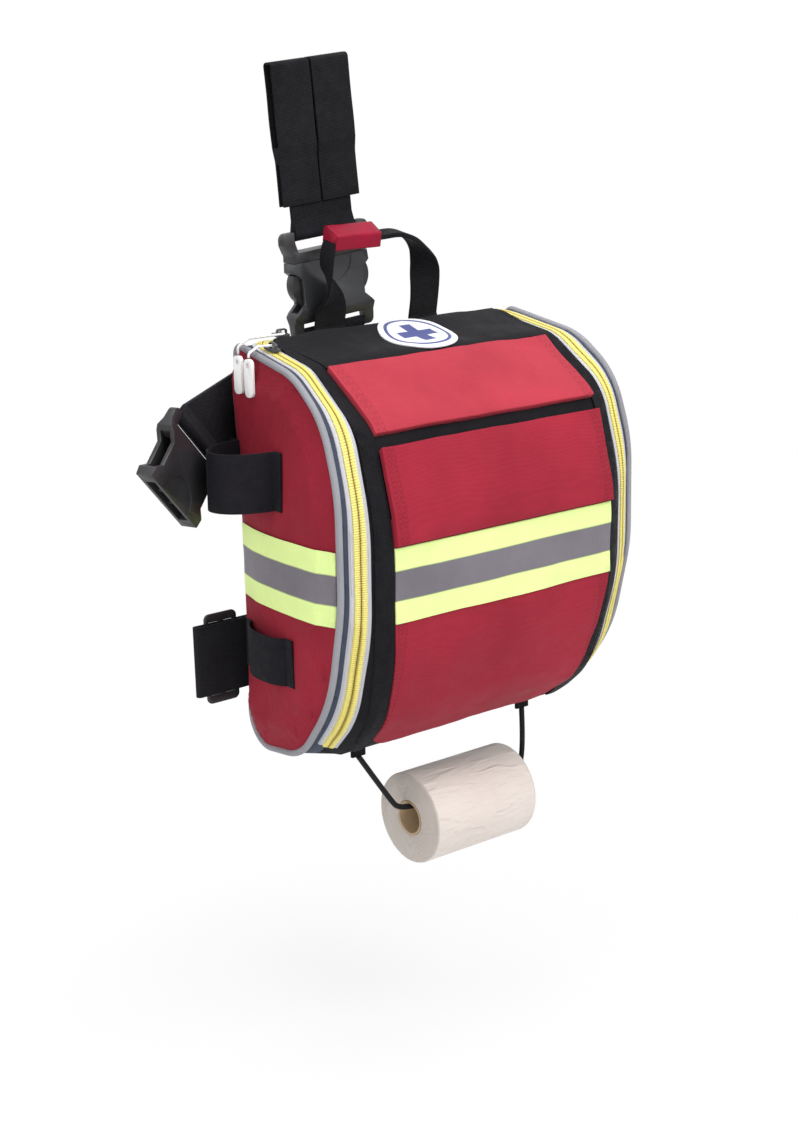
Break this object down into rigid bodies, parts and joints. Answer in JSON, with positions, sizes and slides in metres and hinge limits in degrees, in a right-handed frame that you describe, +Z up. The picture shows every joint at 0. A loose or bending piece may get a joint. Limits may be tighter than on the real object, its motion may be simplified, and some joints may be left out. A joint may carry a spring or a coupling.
{
  "type": "thigh first-aid pouch",
  "caption": "Red and black first-aid pouch for the thigh, with a webbing hanger, side-release buckle, zip-down front, leg straps and a slung roll of tape.",
  "frame": {"origin": "middle of the belt loop at the top of the hanger", "axes": "+Z up, -Y out of the bag's front, +Y towards the wearer's thigh, +X along the belt to the right seen from the front"},
  "size_m": [0.3713, 0.1601, 0.5613],
  "materials": {
    "black_nylon": "matte woven",
    "red_nylon": "coated, faint sheen",
    "bright_red_nylon": "coated, faint sheen",
    "black_webbing": "ribbed weave",
    "red_webbing": "ribbed weave",
    "black_elastic": "ribbed elastic",
    "silver_piping": "satin",
    "navy_nylon": "matte woven",
    "white_cord": "braided",
    "hi_vis_tape": "fluorescent with a silver middle",
    "pale_grey_tape": "woven",
    "yellow_zip_teeth": "satin",
    "black_acetal": "fine grain",
    "grey_acetal": "fine grain",
    "white_rubber": "satin",
    "black_zinc": "satin black",
    "white_print": "woven badge",
    "tape_white": "matte cotton",
    "core_card": "plain",
    "black_cord": "braided",
    "grey_lining": "plain weave"
  },
  "bodies": {
    "hanger": {"hanger_strip_left": "black_webbing", "hanger_strip_right": "black_webbing", "hanger_webbing": "black_webbing"},
    "buckle_male": {"buckle_male_frame": "black_acetal", "buckle_male_prongs": "black_acetal"},
    "buckle_female": {"buckle_female_shell": "grey_acetal"},
    "bag": {"bag_webbing_tail": "black_webbing", "back_panel": "black_nylon", "gusset_left": "navy_nylon", "gusset_right": "navy_nylon", "side_panel_left": "red_nylon", "side_panel_right": "red_nylon", "piping_left": "silver_piping", "piping_right": "silver_piping", "rear_strip": "black_nylon", "bottom_panel": "black_nylon", "reflective_band_left": "hi_vis_tape", "reflective_band_right": "hi_vis_tape", "tool_loop_left": "black_elastic", "tool_loop_right": "black_elastic", "lower_loop_left": "black_elastic", "lower_loop_right": "black_elastic", "organiser_elastic_upper": "black_elastic", "organiser_elastic_lower": "black_elastic", "zip_tape_body": "pale_grey_tape", "zip_chain_body": "yellow_zip_teeth", "handle_roots": "black_webbing", "leg_strap_tab": "black_webbing", "leg_strap_lower": "black_webbing"},
    "cover": {"cover_shell": "black_nylon", "cover_lining": "grey_lining", "cover_top_panel": "black_nylon", "cover_upper_pad": "bright_red_nylon", "front_pocket": "red_nylon", "reflective_band_front": "hi_vis_tape", "cover_binding_left": "black_nylon", "cover_binding_right": "black_nylon", "badge": "white_print", "zip_tape_cover": "pale_grey_tape", "zip_chain_cover": "yellow_zip_teeth", "zip_slider_rear": "black_zinc", "pull_cord_rear": "white_cord"},
    "flap": {"pocket_flap": "red_nylon"},
    "handle": {"handle_webbing": "black_webbing", "handle_grip": "red_webbing"},
    "slider_side": {"zip_slider_side": "black_zinc", "pull_cord_side": "white_cord"},
    "pull_side": {"zip_pull_side": "white_rubber"},
    "pull_rear": {"zip_pull_rear": "white_rubber"},
    "cord": {"cord_anchor_left": "black_cord", "cord_anchor_right": "black_cord", "elastic_cord": "black_cord"},
    "roll": {"tape_roll": "tape_white", "tape_core": "core_card"},
    "leg_female": {"leg_buckle_female_shell": "black_acetal"},
    "leg_strap": {"leg_strap_upper": "black_webbing", "leg_buckle_male_frame": "black_acetal", "leg_buckle_male_prongs": "black_acetal"},
    "glide": {"tri_glide": "black_acetal"}
  },
  "joints": [
    {"name": "buckle_swing", "type": "hinge", "parent": "hanger", "child": "buckle_male", "pos_m": [0.00748, 0, -0.08547], "axis": [0.9962, 0, 0.0872], "range_deg": [-35, 35]},
    {"name": "buckle_release", "type": "slide", "parent": "buckle_male", "child": "buckle_female", "axis": [0.0872, 0, -0.9962], "range_m": [0, 0.045], "deforming": ["buckle_male_prongs"]},
    {"name": "bag_swing", "type": "hinge", "parent": "buckle_female", "child": "bag", "pos_m": [0.01338, 0, -0.15292], "axis": [0.9962, 0, 0.0872], "range_deg": [-5, 25]},
    {"name": "cover_hinge", "type": "hinge", "parent": "bag", "child": "cover", "pos_m": [0.044, -0.08395, -0.4271], "axis": [1, 0, 0], "range_deg": [0, 95]},
    {"name": "flap_lift", "type": "hinge", "parent": "cover", "child": "flap", "pos_m": [0.044, -0.13036, -0.21088], "axis": [1, 0, 0], "range_deg": [-90, 0]},
    {"name": "handle_flop", "type": "hinge", "parent": "bag", "child": "handle", "pos_m": [0.044, -0.0097, -0.149], "axis": [1, 0, 0], "range_deg": [0, 60]},
    {"name": "slider_side_slide", "type": "slide", "parent": "cover", "child": "slider_side", "axis": [-0.0686, -0.9812, -0.1804], "range_m": [0, 0.022]},
    {"name": "pull_side_swing", "type": "hinge", "parent": "slider_side", "child": "pull_side", "pos_m": [-0.085, -0.0397, -0.15805], "axis": [0, 1, 0], "range_deg": [0, 80]},
    {"name": "pull_rear_swing", "type": "hinge", "parent": "cover", "child": "pull_rear", "pos_m": [-0.085, -0.0277, -0.15705], "axis": [0, 1, 0], "range_deg": [0, 80]},
    {"name": "roll_swing", "type": "hinge", "parent": "bag", "child": "cord", "pos_m": [0.044, -0.0667, -0.4284], "axis": [1, 0, 0], "range_deg": [-15, 15]},
    {"name": "roll_spin", "type": "hinge", "parent": "cord", "child": "roll", "pos_m": [0.064, -0.0667, -0.497], "axis": [1, 0, 0], "continuous": true},
    {"name": "leg_female_swing", "type": "hinge", "parent": "bag", "child": "leg_female", "pos_m": [-0.11311, -0.01733, -0.21], "axis": [-0.6645, -0.2418, 0.7071], "range_deg": [-30, 0]},
    {"name": "leg_strap_swing", "type": "hinge", "parent": "bag", "child": "leg_strap", "pos_m": [0.153, 0, -0.223], "axis": [0, 0, 1], "range_deg": [-150, 0]},
    {"name": "tri_glide_slide", "type": "slide", "parent": "bag", "child": "glide", "axis": [1, 0, 0], "range_m": [0, 0.15]}
  ]
}
